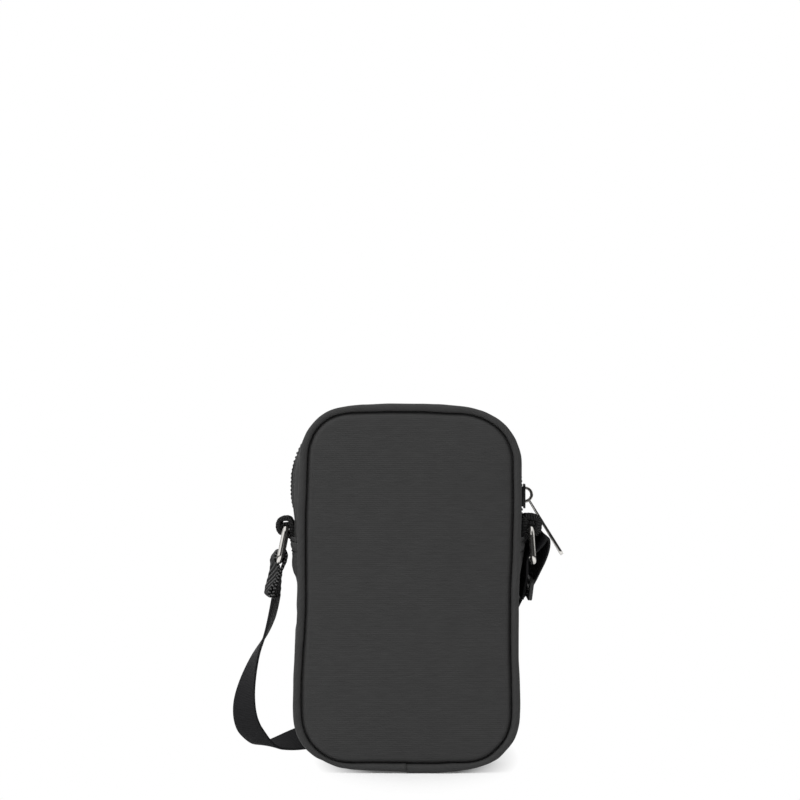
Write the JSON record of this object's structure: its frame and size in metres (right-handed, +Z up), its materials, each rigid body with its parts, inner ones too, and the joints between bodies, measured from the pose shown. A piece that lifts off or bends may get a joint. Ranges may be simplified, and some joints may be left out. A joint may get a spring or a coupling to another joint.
{
  "type": "phone pouch",
  "caption": "Soft upright pouch for a phone with piped panels, a zip round the top, side rings on webbing tabs and a long shoulder strap with a slide adjuster.",
  "frame": {"origin": "middle of the flat bottom the pouch stands on", "axes": "+Z up along the pouch, +X to the right seen from the front, +Y from the front panel to the rear panel"},
  "size_m": [0.1665, 0.1224, 0.1811],
  "materials": {
    "shell_cloth": "matte ribbed coated cloth",
    "piping_cloth": "matte cloth over a cord",
    "piping_core": "plain cord, hidden",
    "foam": "plain foam sheet, hidden",
    "lining_cloth": "smooth lining cloth, hidden",
    "zip_tape": "woven tape",
    "zip_teeth": "satin",
    "slider_enamel": "black enamel on cast metal",
    "nickel": "polished nickel plate",
    "webbing": "woven, slight sheen",
    "adjuster_plastic": "satin moulded plastic"
  },
  "bodies": {
    "pouch": {"front_panel": "shell_cloth", "front_padding": "foam", "front_lining": "lining_cloth", "front_piping_cover": "piping_cloth", "front_piping_cord": "piping_core", "rear_panel": "shell_cloth", "rear_padding": "foam", "rear_lining": "lining_cloth", "rear_piping_cover": "piping_cloth", "rear_piping_cord": "piping_core", "lower_gusset": "shell_cloth", "gusset_lining": "lining_cloth", "upper_gusset_front": "shell_cloth", "upper_gusset_rear": "shell_cloth", "zip_tape_front": "zip_tape", "zip_tape_rear": "zip_tape", "zip_chain_front": "zip_teeth", "zip_chain_rear": "zip_teeth", "left_tab": "webbing", "right_tab": "webbing", "strap_left_run": "webbing", "strap_hank": "webbing", "strap_right_run": "webbing"},
    "left_ring": {"left_ring": "nickel", "strap_left_loop": "webbing"},
    "right_ring": {"right_ring": "nickel", "strap_right_loop": "webbing"},
    "adjuster": {"strap_adjuster": "adjuster_plastic"},
    "slider": {"slider_body": "slider_enamel", "slider_bail": "nickel"},
    "pull": {"zip_pull": "nickel"}
  },
  "joints": [
    {"name": "zip_slide", "type": "slide", "parent": "pouch", "child": "slider", "axis": [0, 0, 1], "range_m": [0, 0.012]},
    {"name": "pull_swing", "type": "hinge", "parent": "slider", "child": "pull", "pos_m": [0.05965, 0, 0.13225], "axis": [0, -1, 0], "range_deg": [0, 105]},
    {"name": "left_ring_swing", "type": "hinge", "parent": "pouch", "child": "left_ring", "pos_m": [-0.06025, 0, 0.11871], "axis": [0, 1, 0], "range_deg": [-8, 110], "deforming": ["strap_left_run"]},
    {"name": "right_ring_swing", "type": "hinge", "parent": "pouch", "child": "right_ring", "pos_m": [0.06025, 0, 0.11871], "axis": [0, -1, 0], "range_deg": [0, 35], "deforming": ["strap_right_run", "strap_right_loop"]},
    {"name": "adjuster_slide", "type": "slide", "parent": "right_ring", "child": "adjuster", "axis": [-0.083, 0.5, -0.862], "range_m": [0, 0.012], "deforming": ["strap_right_run", "strap_right_loop"]}
  ]
}
